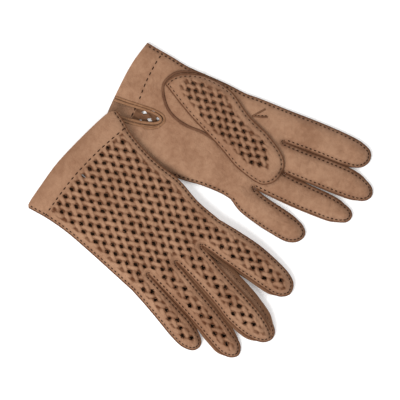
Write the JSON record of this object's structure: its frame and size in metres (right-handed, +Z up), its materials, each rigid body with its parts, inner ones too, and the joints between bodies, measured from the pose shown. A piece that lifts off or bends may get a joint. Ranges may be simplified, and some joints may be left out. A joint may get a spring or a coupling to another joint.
{
  "type": "pair of leather gloves",
  "caption": "Pair of unlined leather dress gloves with woven backs, laid flat one on the other, palm up and back up.",
  "frame": {"origin": "centre of the footprint of the lying pair, on the surface it rests on", "axes": "+Y along the right glove from its cuff to its fingertips, +X to its little finger side, +Z up from the surface"},
  "size_m": [0.2298, 0.2454, 0.0213],
  "materials": {
    "glove_leather": "soft matt glove leather",
    "woven_leather": "matt leather strips, woven",
    "piping_leather": "rolled leather piping",
    "seam_thread": "waxed thread"
  },
  "bodies": {
    "left_hand": {"left_hand_back": "glove_leather", "left_hand_lattice": "woven_leather", "left_hand_palm": "glove_leather", "left_vent_binding": "piping_leather", "left_hand_stitches": "seam_thread", "left_thumb_base": "glove_leather"},
    "left_index": {"left_index_back": "glove_leather", "left_index_lattice": "woven_leather", "left_index_palm": "glove_leather", "left_index_fourchette": "glove_leather", "left_index_stitches": "seam_thread"},
    "left_middle": {"left_middle_back": "glove_leather", "left_middle_lattice": "woven_leather", "left_middle_palm": "glove_leather", "left_middle_fourchette": "glove_leather", "left_middle_stitches": "seam_thread"},
    "left_ring": {"left_ring_back": "glove_leather", "left_ring_lattice": "woven_leather", "left_ring_palm": "glove_leather", "left_ring_fourchette": "glove_leather", "left_ring_stitches": "seam_thread"},
    "left_pinky": {"left_pinky_back": "glove_leather", "left_pinky_lattice": "woven_leather", "left_pinky_palm": "glove_leather", "left_pinky_fourchette": "glove_leather", "left_pinky_stitches": "seam_thread"},
    "left_thumb": {"left_thumb_back": "glove_leather", "left_thumb_lattice": "woven_leather", "left_thumb_palm": "glove_leather", "left_thumb_stitches": "seam_thread"},
    "right_hand": {"right_hand_back": "glove_leather", "right_hand_lattice": "woven_leather", "right_hand_palm": "glove_leather", "right_vent_binding": "piping_leather", "right_hand_stitches": "seam_thread", "right_thumb_base": "glove_leather"},
    "right_index": {"right_index_back": "glove_leather", "right_index_lattice": "woven_leather", "right_index_palm": "glove_leather", "right_index_fourchette": "glove_leather", "right_index_stitches": "seam_thread"},
    "right_middle": {"right_middle_back": "glove_leather", "right_middle_lattice": "woven_leather", "right_middle_palm": "glove_leather", "right_middle_fourchette": "glove_leather", "right_middle_stitches": "seam_thread"},
    "right_ring": {"right_ring_back": "glove_leather", "right_ring_lattice": "woven_leather", "right_ring_palm": "glove_leather", "right_ring_fourchette": "glove_leather", "right_ring_stitches": "seam_thread"},
    "right_pinky": {"right_pinky_back": "glove_leather", "right_pinky_lattice": "woven_leather", "right_pinky_palm": "glove_leather", "right_pinky_fourchette": "glove_leather", "right_pinky_stitches": "seam_thread"},
    "right_thumb": {"right_thumb_back": "glove_leather", "right_thumb_lattice": "woven_leather", "right_thumb_palm": "glove_leather", "right_thumb_stitches": "seam_thread"}
  },
  "joints": [
    {"name": "right_glove_lift", "type": "slide", "parent": "left_hand", "child": "right_hand", "axis": [0, 0, 1], "range_m": [0, 0.12]},
    {"name": "left_index_flex", "type": "hinge", "parent": "left_hand", "child": "left_index", "pos_m": [-0.08313, 0.01639, 0.0098], "axis": [0.9438, 0.3305, 0], "range_deg": [0, 75]},
    {"name": "left_middle_flex", "type": "hinge", "parent": "left_hand", "child": "left_middle", "pos_m": [-0.06228, 0.03488, 0.0098], "axis": [0.9494, 0.314, 0], "range_deg": [0, 75]},
    {"name": "left_ring_flex", "type": "hinge", "parent": "left_hand", "child": "left_ring", "pos_m": [-0.03975, 0.04127, 0.0098], "axis": [0.9527, 0.304, 0], "range_deg": [0, 75]},
    {"name": "left_pinky_flex", "type": "hinge", "parent": "left_hand", "child": "left_pinky", "pos_m": [-0.01359, 0.03097, 0.0098], "axis": [0.9848, 0.1736, 0], "range_deg": [0, 75]},
    {"name": "left_thumb_lift", "type": "hinge", "parent": "left_hand", "child": "left_thumb", "pos_m": [-0.05382, -0.03974, 0.0087], "axis": [0.999, -0.0436, 0], "range_deg": [0, 70]},
    {"name": "right_index_flex", "type": "hinge", "parent": "right_hand", "child": "right_index", "pos_m": [0.02948, 0.03532, 0.01067], "axis": [-0.9976, -0.0419, 0.0558], "range_deg": [0, 75]},
    {"name": "right_middle_flex", "type": "hinge", "parent": "right_hand", "child": "right_middle", "pos_m": [0.05504, 0.04632, 0.00924], "axis": [-0.9952, 0.0802, 0.0556], "range_deg": [0, 75]},
    {"name": "right_ring_flex", "type": "hinge", "parent": "right_hand", "child": "right_ring", "pos_m": [0.0784, 0.04532, 0.00794], "axis": [-0.9914, 0.1184, 0.0554], "range_deg": [0, 75]},
    {"name": "right_pinky_flex", "type": "hinge", "parent": "right_hand", "child": "right_pinky", "pos_m": [0.09997, 0.02732, 0.00673], "axis": [-0.9897, 0.1323, 0.0553], "range_deg": [0, 75]},
    {"name": "right_thumb_lift", "type": "hinge", "parent": "right_hand", "child": "right_thumb", "pos_m": [0.03921, -0.03868, 0.00923], "axis": [-0.9946, 0.0872, 0.0556], "range_deg": [0, 70]}
  ]
}
